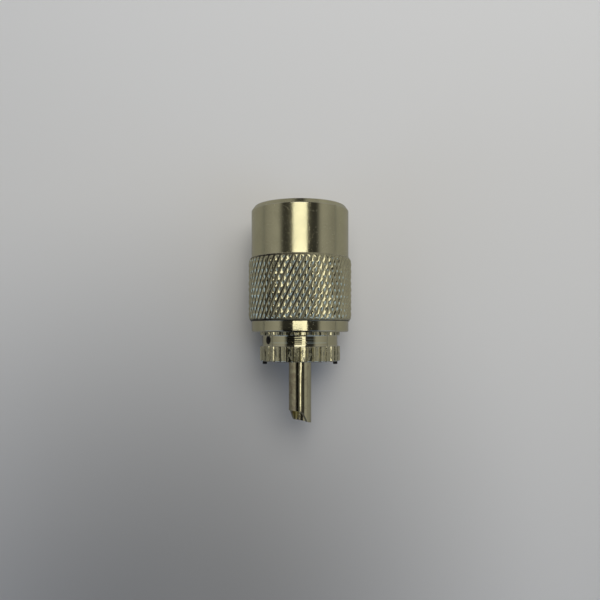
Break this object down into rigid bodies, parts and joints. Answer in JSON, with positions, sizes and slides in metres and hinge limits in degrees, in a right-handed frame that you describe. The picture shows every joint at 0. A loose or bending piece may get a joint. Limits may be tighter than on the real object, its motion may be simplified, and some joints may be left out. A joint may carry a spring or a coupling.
{
  "type": "coaxial antenna plug",
  "caption": "Screw-on coaxial antenna plug with a knurled coupling ring, a serrated body and a hollow solder pin.",
  "frame": {"origin": "middle of the rear end, which the coupling ring and the body share while the ring is drawn back", "axes": "+Z along the axis of the plug towards the pin's tip; +X to one of the two locating tabs"},
  "size_m": [0.0184, 0.0184, 0.0385],
  "materials": {
    "nickel_ring": "polished nickel plate on brass",
    "nickel_body": "turned brass with nickel plate",
    "insulator": "moulded brown resin",
    "nickel_pin": "nickel plate with slight tarnish"
  },
  "bodies": {
    "body": {"plug_body": "nickel_body", "insulator": "insulator", "centre_pin": "nickel_pin"},
    "ring": {"coupling_ring": "nickel_ring"}
  },
  "joints": [
    {"name": "ring_slide", "type": "slide", "parent": "body", "child": "ring", "axis": [0, 0, 1], "range_m": [0, 0.0082]}
  ]
}
